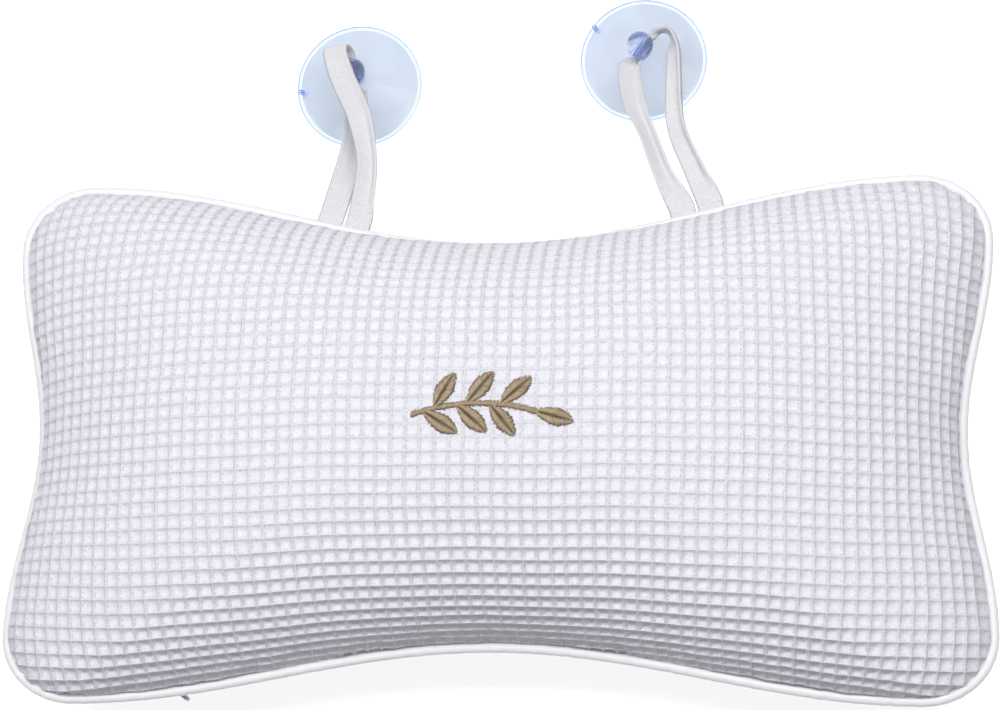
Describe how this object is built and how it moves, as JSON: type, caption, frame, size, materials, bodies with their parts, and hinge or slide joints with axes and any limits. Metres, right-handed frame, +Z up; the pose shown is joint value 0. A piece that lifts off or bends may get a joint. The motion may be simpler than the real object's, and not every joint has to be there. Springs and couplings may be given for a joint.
{
  "type": "bath pillow",
  "caption": "Stuffed bath pillow with a piped waffle-cloth cover, a zip in its bottom seam and tape loops that carry suction cups for holding it to a tub wall.",
  "frame": {"origin": "middle of the flat patch of the back that the pillow rests on", "axes": "+X along the pillow's width, +Y towards the straps and cups, +Z up out of the front of the pillow"},
  "size_m": [0.37, 0.2853, 0.0971],
  "materials": {
    "waffle_cotton": "white waffle-weave cotton, matt",
    "satin": "white satin, soft sheen",
    "cotton_tape": "white woven tape, matt",
    "liner": "thin white lining cloth",
    "fibre": "loose white polyester fibre",
    "thread": "tan satin-stitch thread",
    "nylon": "white nylon coil",
    "slider_metal": "pale grey paint",
    "pull_grey": "grey paint",
    "clear_pvc": "clear PVC, faintly blue"
  },
  "bodies": {
    "cover": {"front_panel": "waffle_cotton", "back_panel": "waffle_cotton", "piping_cover": "satin", "piping_cord": "cotton_tape", "embroidered_sprig": "thread", "inner_case_front": "liner", "inner_case_back": "liner", "filling": "fibre", "zip_tape_front": "cotton_tape", "zip_tape_back": "cotton_tape", "zip_coil_front": "nylon", "zip_coil_back": "nylon", "zip_top_stop": "slider_metal", "zip_bottom_stop": "slider_metal"},
    "strap_left": {"strap_left": "cotton_tape"},
    "strap_right": {"strap_right": "cotton_tape"},
    "cup_left": {"suction_cup_left": "clear_pvc"},
    "cup_right": {"suction_cup_right": "clear_pvc"},
    "zip_slider": {"zip_slider": "slider_metal"},
    "zip_pull": {"zip_pull": "pull_grey"}
  },
  "joints": [
    {"name": "strap_left_swing", "type": "hinge", "parent": "cover", "child": "strap_left", "pos_m": [-0.06083, 0.08288, 0.03924], "axis": [0.9756, -0.2194, 0], "range_deg": [-65, 60]},
    {"name": "cup_left_tilt", "type": "hinge", "parent": "strap_left", "child": "cup_left", "pos_m": [-0.06253, 0.15208, 0.012], "axis": [-0.1392, 0.9903, 0], "range_deg": [-45, 45]},
    {"name": "strap_right_swing", "type": "hinge", "parent": "cover", "child": "strap_right", "pos_m": [0.07494, 0.08618, 0.03924], "axis": [0.9725, 0.2328, 0], "range_deg": [-65, 60]},
    {"name": "cup_right_tilt", "type": "hinge", "parent": "strap_right", "child": "cup_right", "pos_m": [0.05064, 0.16058, 0.012], "axis": [0.5519, 0.8339, 0], "range_deg": [-30, 45]},
    {"name": "zip_slide", "type": "hinge", "parent": "cover", "child": "zip_slider", "pos_m": [0, -0.61941, 0.03455], "axis": [0, 0, -1], "range_deg": [0, 25.9]},
    {"name": "zip_pull_swing", "type": "hinge", "parent": "zip_slider", "child": "zip_pull", "pos_m": [-0.12187, -0.09158, 0.03364], "axis": [-0.051, 0.2208, -0.974], "range_deg": [-52, 128]}
  ]
}
